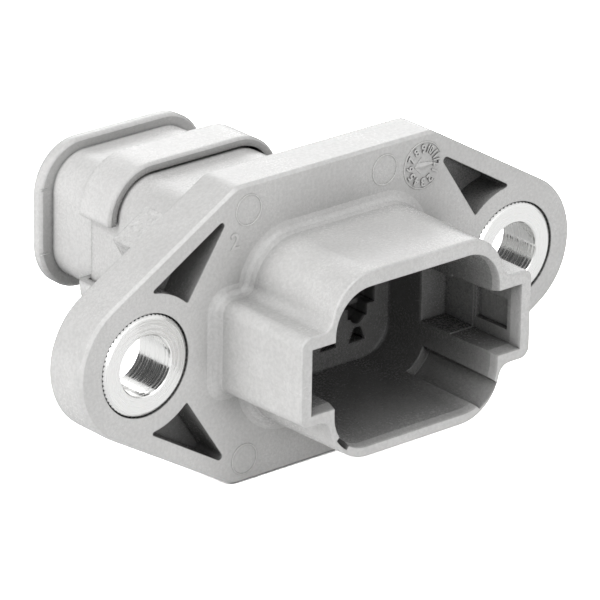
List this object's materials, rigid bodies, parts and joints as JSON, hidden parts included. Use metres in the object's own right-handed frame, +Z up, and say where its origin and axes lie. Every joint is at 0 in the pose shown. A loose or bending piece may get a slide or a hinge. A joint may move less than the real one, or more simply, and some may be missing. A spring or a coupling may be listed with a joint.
{
  "type": "sealed flange-mount connector receptacle",
  "caption": "Sealed rectangular connector receptacle with a rounded mating shroud, latch ears, a slanted fixing flange with metal limiters, and a rear cap with a lip for a boot.",
  "frame": {"origin": "on the flange's front face, midway between the two fixing holes", "axes": "+X along the flange through both fixing holes, +Y from the mating side to the wire side, +Z up"},
  "size_m": [0.071, 0.053, 0.0352],
  "materials": {
    "moulded_plastic": "fine-grained matte",
    "limiter_metal": "bright, turned face and knurled outside",
    "seal_rubber": "soft matte"
  },
  "bodies": {
    "root": {"housing": "moulded_plastic", "rear_cap": "moulded_plastic", "compression_limiter_left": "limiter_metal", "compression_limiter_right": "limiter_metal", "wire_seal": "seal_rubber"}
  },
  "joints": []
}
